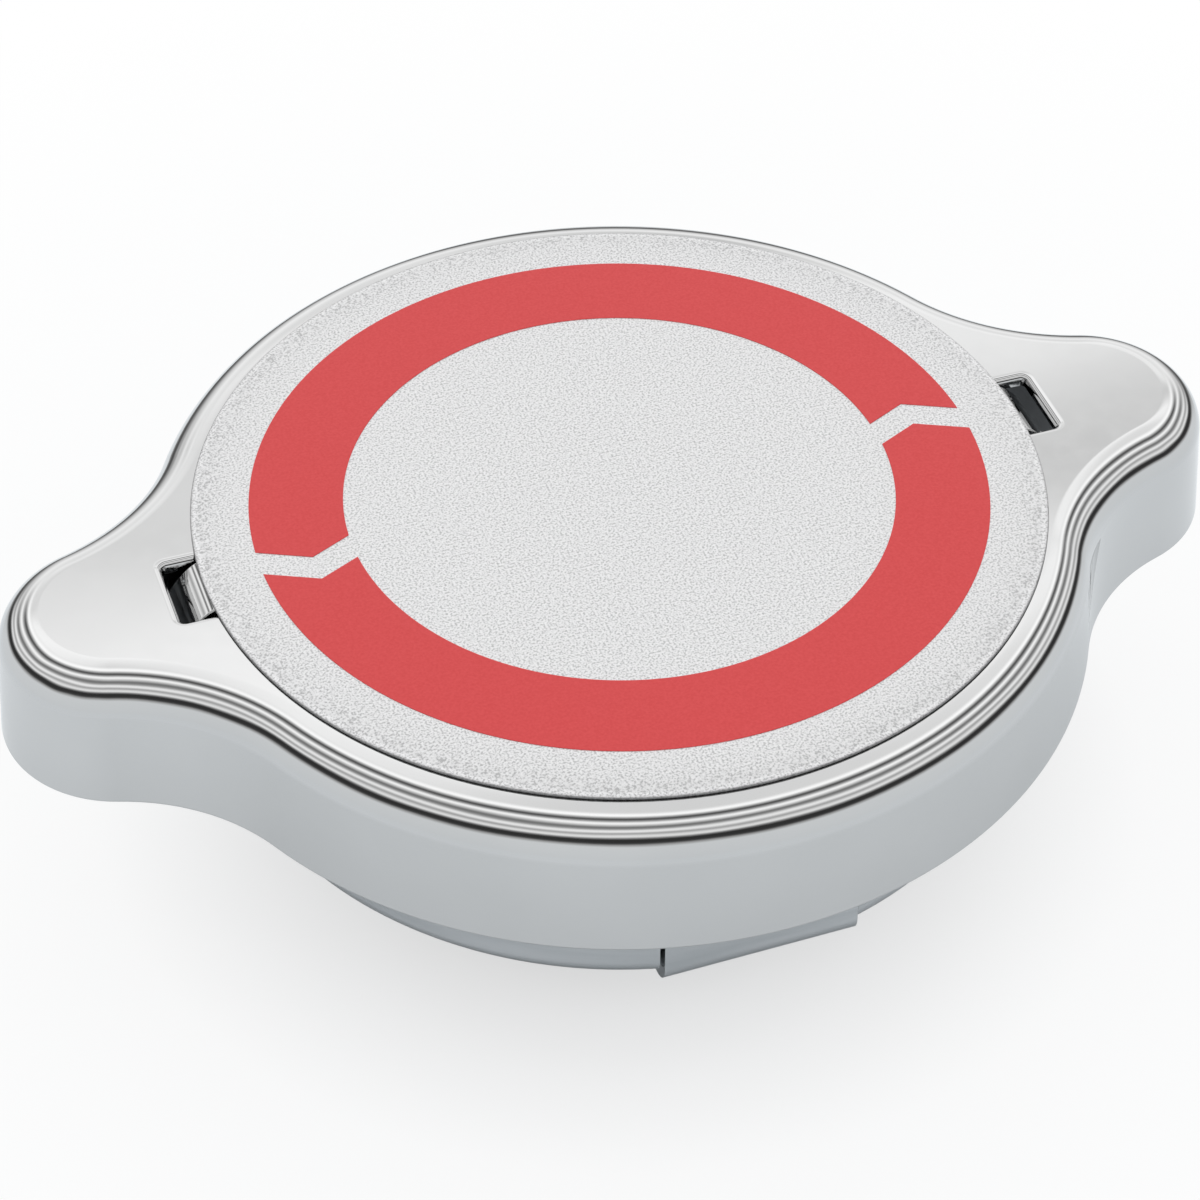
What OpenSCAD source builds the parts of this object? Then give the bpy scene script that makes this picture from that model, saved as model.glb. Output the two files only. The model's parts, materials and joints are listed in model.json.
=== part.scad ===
// Two-eared pressure cap for a radiator filler neck, in millimetres.
// The origin is on the cap's axis at the lower gasket's sealing face. +Z points up to the label,
// and the ears lie along X.

/* [Shell] */
// Gap between the locking ring and the round body's skirt, at its lower edge
body_gap = 4.4; // [3.6:0.1:6]
// Length of an ear beyond the round body, at the skirt's lower edge
ear_length = 10.9; // [9:0.1:16]
// Radius of an ear's round tip at the skirt's lower edge
ear_tip_r = 8.6; // [6.5:0.1:10]
// Radius of the hollow blend between body and ear
ear_blend_r = 15; // [10:0.5:22]
// Sheet thickness of the shell
shell_sheet = 0.9; // [0.6:0.05:1.1]
// Height of the shell from the skirt's lower edge to its flat top
skirt_h = 10; // [8:0.25:13]
// Outward lean of the skirt in degrees
skirt_lean = 4.3; // [1:0.1:7]
// Outside radius of the rounded shoulder
shoulder_r = 3; // [2:0.1:3.6]

/* [Slots and tabs] */
// Width of the slot at each ear's root
slot_w = 6; // [4.5:0.1:8]
// Opening of the slot beyond the tab's outer face
slot_opening = 1.2; // [0.8:0.1:2]
// Radius of the slot's outer corners
slot_corner_r = 0.8; // [0.2:0.1:1]
// Gap between the tab and each side of its slot
tab_side_gap = 0.5; // [0.2:0.05:0.6]
// Gap between the locking ring and the bent-down tab
tab_gap = 0.8; // [0.5:0.1:1.2]
// Outside radius of the tab's bend
tab_bend_r = 1.6; // [1.3:0.1:2.2]
// Drop of the tab's end below the shell's top
tab_drop = 3.6; // [3:0.1:5]
// Lean of the tab outwards from straight down, in degrees
tab_lean = 30; // [10:1:40]

/* [Label] */
// Margin between the label disc and the shell's rounded shoulder
disc_margin = 0.16; // [0.1:0.02:0.6]
// Thickness of the label disc
disc_t = 0.36; // [0.3:0.02:0.8]
// Radius of the disc's rolled upper edge
disc_edge_r = 0.15; // [0.1:0.05:0.25]
// Margin between the printed ring and the disc's edge
print_margin = 4; // [2:0.1:6]
// Width of the printed ring
print_w = 6.45; // [4:0.05:9]
// Thickness of the print's enamel
print_t = 0.04; // [0.02:0.01:0.1]
// Distance of an arrow's point inwards from the printed ring's outer edge
arrow_point_in = 3.6; // [2:0.1:4]
// Slope of an arrow's two edges in degrees
arrow_slope = 25; // [10:1:40]
// Gap between an arrow's point and the next arrow's tail
arrow_gap = 2.3; // [1:0.1:4]

/* [Locking ring] */
// Gap between the upper gasket's edge and the locking ring
gasket_edge_gap = 1.2; // [0.8:0.1:2]
// Sheet thickness of the locking ring
bayonet_sheet = 1; // [0.7:0.05:1.2]
// Height of the locking ring below the shell's sheet
bayonet_h = 16.65; // [14:0.05:17]
// Outside radius of the ring's upper corner
bayonet_corner_r = 2; // [1.5:0.1:3]
// Outside radius of the ring's rolled lower edge
bayonet_roll_r = 1.3; // [1.3:0.1:2.2]
// Inset of a lug's flat outer face from the ring's outside
lug_inset = 0.5; // [0.4:0.05:0.8]
// Width of a lug
lug_w = 13.75; // [9:0.25:15]
// Drop of a lug's bend below the ring's lower edge
lug_drop = 0.7; // [0.3:0.1:1.2]
// Length of a lug's flat face
lug_h = 9; // [7:0.25:10]
// Reach of a lug's hook inwards from its outer face
hook_reach = 6; // [4:0.25:7]
// Outside radius of a lug's bend
lug_bend_r = 1.5; // [1.3:0.1:2.5]
// Width of the slit at each end of a lug
lug_slit = 0.2; // [0.2:0.05:1]
// Turn of the lugs from the line across the ears, in degrees
lug_turn = 0.8; // [-3:0.1:3]

/* [Rivet and dimple] */
// Radius of the rivet's shank
rivet_r = 2.5; // [2:0.1:3]
// Radius of the rivet's head
rivet_head_r = 5.2; // [4:0.1:5.6]
// Thickness of the rivet's head
rivet_head_t = 1.2; // [0.8:0.05:1.4]
// Radius of the upset lower end
rivet_upset_r = 4.2; // [3.6:0.1:5]
// Height of the upset lower end
rivet_upset_t = 1.4; // [1:0.1:2]
// Radius of the washer under the bell's top
washer_r = 6; // [5.2:0.1:7]
// Thickness of that washer
washer_t = 0.7; // [0.4:0.05:1]
// Gap between the rivet's head and the label disc above it
head_gap = 0.1; // [0.05:0.05:0.4]
// Gap between the rivet's head and the foot of the dimple's wall
dimple_edge_gap = 0.8; // [0.4:0.1:2]

/* [Upper seal] */
// Distance from the lower sealing face to the upper one
seat_reach = 19.1; // [18:0.1:22]
// Outer radius of the upper gasket
upper_gasket_r_out = 26.5; // [24:0.1:29]
// Inner radius of the upper gasket
upper_gasket_r_in = 18.5; // [17:0.1:21]
// Thickness of the upper gasket
upper_gasket_t = 2; // [1.5:0.1:3]
// Sheet thickness of the diaphragm spring
diaphragm_sheet = 0.4; // [0.25:0.05:0.5]
// Rise of the diaphragm's hub above its rim
diaphragm_rise = 1.25; // [0.8:0.05:2]
// Width by which the diaphragm's flat hub overhangs the bell's flat top
hub_overhang = 0.6; // [0.2:0.1:1.2]

/* [Bell and pressure spring] */
// Outside radius of the bell
bell_r = 11.6; // [11.2:0.1:12.5]
// Sheet thickness of the bell
bell_sheet = 0.8; // [0.6:0.05:0.9]
// Outside radius of the bell's corners
bell_corner_r = 1.6; // [1.2:0.1:2]
// Number of windows in the bell's wall
bell_windows = 4; // [3:1:4]
// Width of a window
window_w = 9; // [6:0.25:11]
// Corner radius of a window
window_corner_r = 1.5; // [0.5:0.1:2.5]
// Wall left above and below a window
window_margin = 2.2; // [1.8:0.1:3]
// Lift of the pressure valve
pressure_travel = 3; // [2:0.1:3.4]
// Wire diameter of the pressure spring
spring_wire = 1.8; // [1.2:0.1:2]
// Turns of the pressure spring
spring_turns = 4.25; // [3.5:0.25:4.5]

/* [Pressure valve] */
// Outer radius of the lower gasket
gasket_r = 14.3; // [13.8:0.1:14.8]
// Width of the gasket's sealing face
gasket_face_w = 2.4; // [1.6:0.1:2.6]
// Chamfer at the sealing face's edges
gasket_chamfer = 0.3; // [0.1:0.05:0.4]
// Thickness of the gasket's inner lip
gasket_lip_t = 1.1; // [0.8:0.05:1.3]
// Gap between the sleeve's bore and the gasket's lip
gasket_lip_inset = 0.4; // [0.1:0.1:0.8]
// Sheet thickness of the pressure plate
plate_sheet = 0.8; // [0.6:0.05:1]
// Depth of the plate's turned-down rim below the plate
plate_rim_h = 1.4; // [0.8:0.1:2]
// Outside radius of the plate's sleeve
sleeve_r = 6; // [5.6:0.1:6.3]
// Thickness of the spring seat
seat_sheet = 0.8; // [0.6:0.05:1]
// Height of the seat's raised centre
seat_boss_h = 0.7; // [0.4:0.05:1]
// Radius of a flow hole through the seat
flow_hole_r = 1.1; // [0.8:0.05:1.3]
// Number of flow holes
flow_holes = 4; // [3:1:6]
// Width of the retainer ring
retainer_w = 1.9; // [1.8:0.1:2.2]
// Thickness of the retainer ring
retainer_t = 0.7; // [0.5:0.05:0.9]
// Number of peened posts on the retainer
retainer_posts = 4; // [3:1:8]
// Radius of a peened post
post_r = 0.7; // [0.5:0.05:0.8]

/* [Vacuum valve] */
// Gap between the vacuum valve's disc and the retainer ring
vacuum_edge_gap = 0.85; // [0.4:0.05:1.5]
// Thickness of that disc
vacuum_disc_t = 0.7; // [0.5:0.05:0.7]
// Radius of the stem
stem_r = 1.5; // [1.2:0.05:1.8]
// Drop of the vacuum valve
vacuum_travel = 1; // [0.6:0.05:1]
// Length of the fitted vacuum spring
vacuum_spring_h = 4.3; // [3.8:0.1:5]
// Wire diameter of the vacuum spring
vacuum_wire = 0.5; // [0.3:0.05:0.6]
// Turns of the vacuum spring
vacuum_turns = 4.5; // [4:0.25:5]
// Thickness of the stem's collar
collar_t = 0.8; // [0.5:0.05:1.2]
// Length of the stem's end above the collar
stem_end_h = 0.4; // [0.2:0.05:0.8]

/* [Hidden] */
$fn = 96;

// Clearances
swivel_play = 0.05;
shaft_clearance = 0.05;
seating_clearance = 0.05;
shank_clearance = 0.02;
lift_margin = 0.5;
drop_margin = 0.15;
gasket_clearance = 0.05;
collar_edge = 0.5;
coil_clearance = 0.5;
overlap = 0.5;

// Steps along the shell's curves
ear_steps = 13;
blend_steps = 9;
body_steps = 15;
shoulder_steps = 9;

// Radii from the upper gasket outwards
bayonet_in_r = upper_gasket_r_out + gasket_edge_gap;
bayonet_r = bayonet_in_r + bayonet_sheet;
lug_face = bayonet_r - lug_inset;
tab_reach = bayonet_r + tab_gap + shell_sheet;
slot_reach = tab_reach + slot_opening;
body_r = bayonet_r + body_gap;
ear_reach = body_r + ear_length;

// Dimple that takes the rivet's head
dimple_depth = rivet_head_t + head_gap;
dimple_r = rivet_head_r + dimple_edge_gap;

// Heights of the upper stack, from the lower sealing face up
rim_z = seat_reach + upper_gasket_t;
bell_top_z = rim_z + diaphragm_rise;
hub_top_z = bell_top_z + diaphragm_sheet;
dimple_under_z = hub_top_z + swivel_play;
bayonet_dimple_z = dimple_under_z + bayonet_sheet;
shell_dimple_z = bayonet_dimple_z + shell_sheet;
shell_top_z = shell_dimple_z + dimple_depth;
shell_under_z = shell_top_z - shell_sheet;
disc_top_z = shell_top_z + disc_t;
skirt_z = shell_top_z - skirt_h;
bell_under_z = bell_top_z - bell_sheet;
washer_top_z = bell_under_z - swivel_play;
washer_under_z = washer_top_z - washer_t;

// Shell section: u runs outwards from the skirt's lower edge, z up from it
lean_out = [cos(skirt_lean), sin(skirt_lean)];
shoulder_z = skirt_h - shoulder_r;
shoulder_u = -(shoulder_r + shoulder_z * lean_out[1]) / lean_out[0];

// Label on the shell's flat top
disc_r = body_r + shoulder_u - disc_margin;
print_r_out = disc_r - print_margin;
print_r_in = print_r_out - print_w;
arrow_point_r = print_r_out - arrow_point_in;

// Shell outline: body circle, ear circle and the hollow blend that touches both
ear_x = ear_reach - ear_tip_r;
blend_to_body = body_r + ear_blend_r;
blend_to_ear = ear_tip_r + ear_blend_r;
blend_x = (blend_to_body ^ 2 - blend_to_ear ^ 2 + ear_x ^ 2) / (2 * ear_x);
blend_y = sqrt(blend_to_body ^ 2 - blend_x ^ 2);
body_end = atan2(blend_y, blend_x);
ear_end = atan2(blend_y, blend_x - ear_x);

// Heights of the locking ring
bayonet_z = shell_under_z - bayonet_h;
lug_z = bayonet_z - lug_drop;
lug_top_z = lug_z + lug_h;

// Valve heights
vacuum_top_z = drop_margin + vacuum_travel + vacuum_disc_t;
gasket_lip_z = vacuum_top_z + seating_clearance;
plate_z = gasket_lip_z + gasket_lip_t;
plate_top_z = plate_z + plate_sheet;
lip_z = plate_top_z + pressure_travel + lift_margin;
lip_top_z = lip_z + bell_sheet;
seat_z = lip_top_z + seating_clearance;
seat_top_z = seat_z + seat_sheet;
boss_top_z = seat_top_z + seat_boss_h;
sleeve_top_z = seat_z + seat_boss_h;
collar_z = boss_top_z + vacuum_spring_h;

// Valve radii
bell_in_r = bell_r - bell_sheet;
seat_r = bell_in_r - coil_clearance;
spring_r = seat_r - spring_wire / 2;
boss_r = spring_r - spring_wire / 2 - coil_clearance;
lip_r = sleeve_r + coil_clearance;
sleeve_in_r = sleeve_r - plate_sheet;
gasket_lip_r = sleeve_in_r + gasket_lip_inset;
diaphragm_hub_r = bell_r - bell_corner_r + hub_overhang;
gasket_face_r_out = gasket_r - gasket_chamfer;
gasket_face_r_in = gasket_face_r_out - gasket_face_w;
bead_in_r = gasket_face_r_in - gasket_chamfer;
retainer_r_out = bead_in_r - gasket_clearance;
retainer_r_in = retainer_r_out - retainer_w;
vacuum_disc_r = retainer_r_in - vacuum_edge_gap;
post_ring_r = (retainer_r_out + retainer_r_in) / 2;
plate_rim_in_r = gasket_r + gasket_clearance;
plate_r = plate_rim_in_r + plate_sheet;
rim_inside_r = plate_sheet / 2;
rim_bend_r = rim_inside_r + plate_sheet;
flow_ring_r = (sleeve_in_r + stem_r) / 2;
vacuum_coil_r = stem_r + shaft_clearance + coil_clearance + vacuum_wire / 2;
collar_r = vacuum_coil_r + vacuum_wire / 2 + collar_edge;

// Flat strip of a section, between two radii and two heights
module strip(r_in, r_out, z_low, z_high)
    translate([r_in, z_low]) square([r_out - r_in, z_high - z_low]);

// Bend of a section: a ring's sector about a centre, between two angles
module bend(centre, inside_r, sheet, from, to) {
    far = 2 * (inside_r + sheet);
    middle = (from + to) / 2;
    translate(centre) intersection() {
        difference() {
            circle(inside_r + sheet);
            circle(inside_r);
        }
        polygon([
            [0, 0],
            far * [cos(from), sin(from)],
            2 * far * [cos(middle), sin(middle)],
            far * [cos(to), sin(to)]
        ]);
    }
}

// Both of a pair that lie opposite each other across the axis
module opposite() {
    children();
    rotate(180) children();
}

// Copies spread evenly round the axis
module around(count)
    for (i = [0 : count - 1]) rotate(360 * i / count) children();

// Pressed dimple of a centre sheet: floor, sloping wall and the flat round it
module dimple_section(hole_r, floor_r, out_r, top_z, sheet) {
    shift = sheet * tan(22.5);
    polygon([
        [hole_r, top_z - dimple_depth],
        [floor_r, top_z - dimple_depth],
        [floor_r + dimple_depth, top_z],
        [out_r, top_z],
        [out_r, top_z - sheet],
        [floor_r + dimple_depth + shift, top_z - sheet],
        [floor_r + shift, top_z - dimple_depth - sheet],
        [hole_r, top_z - dimple_depth - sheet]
    ]);
}

// Points and outward directions round a quarter of the skirt's lower edge, from ear to front
function quarter_outline() = concat(
    [for (i = [0 : ear_steps - 1])
        let (way = unit_at(ear_end * i / ear_steps))
        [[ear_x, 0] + ear_tip_r * way, way]],
    [for (i = [0 : blend_steps - 1])
        let (way = unit_at(ear_end + (body_end - ear_end) * i / blend_steps))
        [[blend_x, blend_y] - ear_blend_r * way, way]],
    [for (i = [0 : body_steps])
        let (way = unit_at(body_end + (90 - body_end) * i / body_steps))
        [body_r * way, way]]
);

function unit_at(angle) = [cos(angle), sin(angle)];

// A quarter flipped across the axes, in the order that goes on round the cap
function flipped(quarter, x, y) =
    let (last = len(quarter) - 1)
    [for (i = [1 : last])
        let (pick = quarter[x * y < 0 ? last - i : i])
        [for (part = pick) [x * part[0], y * part[1]]]];

// Section of the sheet: up the outside to the flat top, then down the inside
function sheet_section() =
    let (
        turn = [for (i = [0 : shoulder_steps])
            unit_at(skirt_lean + (90 - skirt_lean) * i / shoulder_steps)],
        centre = [shoulder_u, shoulder_z]
    )
    concat(
        [[0, 0]],
        [for (way = turn) centre + shoulder_r * way],
        [for (i = [shoulder_steps : -1 : 0]) centre + (shoulder_r - shell_sheet) * turn[i]],
        [[-shell_sheet / lean_out[0], 0]]
    );

// The pressed sheet: its section carried round the whole outline, closed by the flat top
module pressed_sheet() {
    quarter = quarter_outline();
    outline = concat(quarter, flipped(quarter, -1, 1), flipped(quarter, -1, -1),
        flipped(quarter, 1, -1));
    section = sheet_section();
    count = len(outline) - 1;
    half = count / 2;
    rows = len(section);
    top_row = rows / 2 - 1;
    points = [for (row = section, i = [0 : count - 1])
        let (place = outline[i][0] + row[0] * outline[i][1])
        [place[0], place[1], skirt_z + row[1]]];
    walls = [for (row = [0 : rows - 1], i = [0 : count - 1])
        if (row != top_row)
            let (up = (row + 1) % rows, next = (i + 1) % count)
            [row * count + i, up * count + i, up * count + next, row * count + next]];
    upper = [for (i = [1 : half - 2]) [i, count - i, count - i - 1, i + 1]];
    ends = [[0, count - 1, 1], [half - 1, half + 1, half]];
    flat = concat(upper, ends);
    outer_top = [for (face = flat) [for (i = face) top_row * count + i]];
    inner_top = [for (face = flat)
        [for (j = [len(face) - 1 : -1 : 0]) (top_row + 1) * count + face[j]]];
    polyhedron(points, concat(walls, outer_top, inner_top));
}

// Slot at an ear's root, open under the label disc
module slot_outline() {
    root = tab_reach - tab_bend_r - overlap;
    straight = slot_reach - slot_corner_r;
    translate([root, -slot_w / 2]) square([straight - root, slot_w]);
    translate([straight - overlap, slot_corner_r - slot_w / 2])
        square([slot_corner_r + overlap, slot_w - 2 * slot_corner_r]);
    for (side = [-1, 1])
        translate([straight, side * (slot_w / 2 - slot_corner_r)]) circle(slot_corner_r);
}

// Tab lanced out of the slot, bent down and leaning outwards
module tab() {
    width = slot_w - 2 * tab_side_gap;
    centre = [tab_reach - tab_bend_r, shell_top_z - tab_bend_r];
    leg = (tab_drop - tab_bend_r * (1 - sin(tab_lean))) / cos(tab_lean);
    translate([0, width / 2, 0]) rotate([90, 0, 0]) linear_extrude(width) {
        strip(centre[0] - 2 * overlap, centre[0], shell_under_z, shell_top_z);
        bend(centre, tab_bend_r - shell_sheet, shell_sheet, tab_lean, 90);
        translate(centre) rotate(tab_lean)
            strip(tab_bend_r - shell_sheet, tab_bend_r, -leg, 0);
    }
}

module outer_shell() color([0.78, 0.8, 0.81]) {
    floor_hole_r = rivet_r + shank_clearance;
    dimple_out_r = dimple_r + dimple_depth + 2 * shell_sheet;
    difference() {
        pressed_sheet();
        translate([0, 0, shell_under_z - overlap])
            cylinder(r = dimple_out_r - overlap, h = shell_sheet + 2 * overlap);
        opposite() translate([0, 0, shell_under_z - overlap])
            linear_extrude(shell_sheet + 2 * overlap) slot_outline();
    }
    rotate_extrude()
        dimple_section(floor_hole_r, dimple_r, dimple_out_r, shell_top_z, shell_sheet);
    opposite() tab();
}

module label_disc() color([0.82, 0.82, 0.83])
    rotate_extrude() {
        edge = [disc_r - disc_edge_r, disc_top_z - disc_edge_r];
        strip(0, edge[0], shell_top_z, disc_top_z);
        strip(0, disc_r, shell_top_z, edge[1]);
        intersection() {
            translate(edge) circle(disc_edge_r);
            strip(edge[0], disc_r, edge[1], disc_top_z);
        }
    }

// Gap between an arrow's point and the next arrow's tail
module arrow_gap_outline() {
    reach = print_r_out - print_r_in;
    back = reach * tan(arrow_slope);
    translate([arrow_point_r, 0]) polygon([
        [reach, -back],
        [0, 0],
        [-reach, -back],
        [-reach, arrow_gap - back],
        [0, arrow_gap],
        [reach, arrow_gap - back]
    ]);
}

module label_print() color([0.8, 0.12, 0.13])
    translate([0, 0, disc_top_z]) linear_extrude(print_t) difference() {
        circle(print_r_out);
        circle(print_r_in);
        opposite() arrow_gap_outline();
    }

// Section of the locking ring: web, upper corner, wall and rolled lower edge
module bayonet_section() {
    corner_r = bayonet_r - bayonet_corner_r;
    corner_z = shell_under_z - bayonet_corner_r;
    roll_z = bayonet_z + bayonet_roll_r;
    web_r = dimple_r + dimple_depth + 2 * shell_sheet;
    floor_r = dimple_r + shell_sheet * tan(22.5) + seating_clearance;
    dimple_section(rivet_r + shank_clearance, floor_r, web_r, shell_under_z, bayonet_sheet);
    strip(web_r - overlap, corner_r, shell_under_z - bayonet_sheet, shell_under_z);
    bend([corner_r, corner_z], bayonet_corner_r - bayonet_sheet, bayonet_sheet, 0, 90);
    strip(bayonet_in_r, bayonet_r, roll_z, corner_z);
    bend([bayonet_r - bayonet_roll_r, roll_z], bayonet_roll_r - bayonet_sheet, bayonet_sheet, -90, 0);
}

// Lug at +Y: a flat tab whose lower end bends inwards into a hook
module lug() {
    bend_y = lug_face - lug_bend_r;
    bend_z = lug_z + lug_bend_r;
    rotate([90, 0, 90]) linear_extrude(lug_w, center = true) {
        strip(lug_face - bayonet_sheet, lug_face, bend_z, lug_top_z);
        bend([bend_y, bend_z], lug_bend_r - bayonet_sheet, bayonet_sheet, -90, 0);
        strip(lug_face - hook_reach, bend_y, lug_z, lug_z + bayonet_sheet);
    }
}

module bayonet_ring() color([0.7, 0.72, 0.73]) {
    cut_w = lug_w + 2 * lug_slit;
    cut_h = lug_top_z - bayonet_sheet - bayonet_z;
    difference() {
        rotate_extrude() bayonet_section();
        opposite() rotate(lug_turn)
            translate([-cut_w / 2, lug_face - hook_reach, bayonet_z - overlap])
            cube([cut_w, 2 * hook_reach, cut_h + overlap]);
    }
    opposite() rotate(lug_turn) lug();
}

module centre_rivet() color([0.6, 0.61, 0.62])
    rotate_extrude() {
        strip(0, rivet_head_r, shell_dimple_z, shell_dimple_z + rivet_head_t);
        strip(0, rivet_r, washer_under_z - overlap, shell_dimple_z + overlap);
        strip(0, rivet_upset_r, washer_under_z - rivet_upset_t, washer_under_z);
    }

module rivet_washer() color([0.66, 0.67, 0.68])
    rotate_extrude() strip(rivet_r + shank_clearance, washer_r, washer_under_z, washer_top_z);

module diaphragm_spring() color([0.72, 0.71, 0.66])
    rotate_extrude() polygon([
        [rivet_r + shaft_clearance, bell_top_z],
        [diaphragm_hub_r, bell_top_z],
        [upper_gasket_r_in, rim_z],
        [upper_gasket_r_out, rim_z],
        [upper_gasket_r_out, rim_z + diaphragm_sheet],
        [upper_gasket_r_in, rim_z + diaphragm_sheet],
        [diaphragm_hub_r, hub_top_z],
        [rivet_r + shaft_clearance, hub_top_z]
    ]);

module upper_gasket() color([0.1, 0.1, 0.1])
    rotate_extrude() strip(upper_gasket_r_in, upper_gasket_r_out, seat_reach, rim_z);

// Section of the bell: top, wall and the lip that stops the valve
module bell_section() {
    corner_r = bell_r - bell_corner_r;
    inside = bell_corner_r - bell_sheet;
    strip(rivet_r + shaft_clearance, corner_r, bell_under_z, bell_top_z);
    bend([corner_r, bell_top_z - bell_corner_r], inside, bell_sheet, 0, 90);
    strip(bell_in_r, bell_r, lip_z + bell_corner_r, bell_top_z - bell_corner_r);
    bend([corner_r, lip_z + bell_corner_r], inside, bell_sheet, -90, 0);
    strip(lip_r, corner_r, lip_z, lip_top_z);
}

module window_outline() {
    low = lip_top_z + window_margin;
    high = bell_under_z - window_margin;
    across = window_w / 2 - window_corner_r;
    strip(low, high, -across, across);
    strip(low + window_corner_r, high - window_corner_r, -window_w / 2, window_w / 2);
    for (z = [low + window_corner_r, high - window_corner_r], y = [-across, across])
        translate([z, y]) circle(window_corner_r);
}

module spring_bell() color([0.68, 0.69, 0.7])
    difference() {
        rotate_extrude() bell_section();
        around(bell_windows) translate([2 * bell_r, 0, 0]) rotate([0, -90, 0])
            linear_extrude(bell_r + boss_r) window_outline();
    }

// Height of a coil's wire centre after some turns: end turns lie close, the rest is spread
function coil_rise(turn, turns, rise, close) =
    turn < 1 ? turn * close :
    turn > turns - 1 ? rise - (turns - turn) * close :
    close + (turn - 1) * (rise - 2 * close) / (turns - 2);

// Round wire wound round the axis from one height to another
module coil(mean_r, wire, turns, low, high, sides, steps) {
    count = round(turns * steps);
    rise = high - low - wire;
    rings = [for (i = [0 : count], j = [0 : sides - 1])
        let (
            turn = i * turns / count,
            side = 360 * j / sides,
            radius = mean_r + wire / 2 * cos(side)
        )
        [
            radius * cos(360 * turn),
            radius * sin(360 * turn),
            low + wire / 2 + coil_rise(turn, turns, rise, wire * 1.05) + wire / 2 * sin(side)
        ]];
    walls = [for (i = [0 : count - 1], j = [0 : sides - 1])
        let (next = (j + 1) % sides)
        [i * sides + j, i * sides + next, (i + 1) * sides + next, (i + 1) * sides + j]];
    start = [for (j = [sides - 1 : -1 : 0]) j];
    end = [for (j = [0 : sides - 1]) count * sides + j];
    polyhedron(rings, concat(walls, [start, end]));
}

module pressure_spring() color([0.62, 0.63, 0.64])
    coil(spring_r, spring_wire, spring_turns, seat_top_z, bell_under_z, 10, 28);

module spring_seat() color([0.7, 0.71, 0.7])
    difference() {
        rotate_extrude() {
            strip(stem_r + shaft_clearance, boss_r, sleeve_top_z, boss_top_z);
            strip(sleeve_r + gasket_clearance, seat_r, seat_z, seat_top_z);
        }
        around(flow_holes) translate([flow_ring_r, 0, seat_z - overlap])
            cylinder(r = flow_hole_r, h = boss_top_z - seat_z + 2 * overlap);
    }

// Holes for the retainer's posts
module post_bores()
    around(retainer_posts) translate([post_ring_r, 0, gasket_lip_z - overlap])
        cylinder(r = post_r + shank_clearance, h = plate_top_z - gasket_lip_z + 2 * overlap);

module pressure_plate() color([0.69, 0.7, 0.71])
    difference() {
        rotate_extrude() {
            strip(sleeve_in_r, plate_r - rim_bend_r, plate_z, plate_top_z);
            bend([plate_r - rim_bend_r, plate_top_z - rim_bend_r], rim_inside_r, plate_sheet, 0, 90);
            strip(plate_rim_in_r, plate_r, plate_z - plate_rim_h, plate_top_z - rim_bend_r);
            strip(sleeve_in_r, sleeve_r, plate_z, sleeve_top_z);
        }
        post_bores();
    }

module pressure_gasket() color([0.09, 0.09, 0.09])
    difference() {
        rotate_extrude() polygon([
            [gasket_lip_r, gasket_lip_z],
            [bead_in_r, gasket_lip_z],
            [bead_in_r, gasket_chamfer],
            [gasket_face_r_in, 0],
            [gasket_face_r_out, 0],
            [gasket_r, gasket_chamfer],
            [gasket_r, plate_z - rim_inside_r],
            [gasket_r - rim_inside_r, plate_z],
            [gasket_lip_r, plate_z]
        ]);
        post_bores();
    }

module gasket_retainer() color([0.72, 0.73, 0.72]) {
    rotate_extrude()
        strip(retainer_r_in, retainer_r_out, gasket_lip_z - retainer_t, gasket_lip_z);
    around(retainer_posts) translate([post_ring_r, 0, gasket_lip_z - retainer_t / 2])
        cylinder(r = post_r, h = plate_top_z - gasket_lip_z + retainer_t / 2);
}

module vacuum_spring() color([0.75, 0.75, 0.72])
    coil(vacuum_coil_r, vacuum_wire, vacuum_turns, boss_top_z, collar_z, 8, 20);

module vacuum_valve() color([0.78, 0.62, 0.3])
    rotate_extrude() {
        strip(0, vacuum_disc_r, vacuum_top_z - vacuum_disc_t, vacuum_top_z);
        strip(0, stem_r, vacuum_top_z - vacuum_disc_t, collar_z + collar_t + stem_end_h);
    }

module stem_collar() color([0.74, 0.6, 0.32])
    rotate_extrude() strip(stem_r + shank_clearance, collar_r, collar_z, collar_z + collar_t);

outer_shell();
label_disc();
label_print();
bayonet_ring();
centre_rivet();
rivet_washer();
diaphragm_spring();
upper_gasket();
spring_bell();
pressure_spring();
spring_seat();
pressure_plate();
pressure_gasket();
gasket_retainer();
vacuum_spring();
vacuum_valve();
stem_collar();
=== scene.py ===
import json
import math

import bpy
from mathutils import Matrix, Vector
from mathutils.geometry import tessellate_polygon

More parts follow.
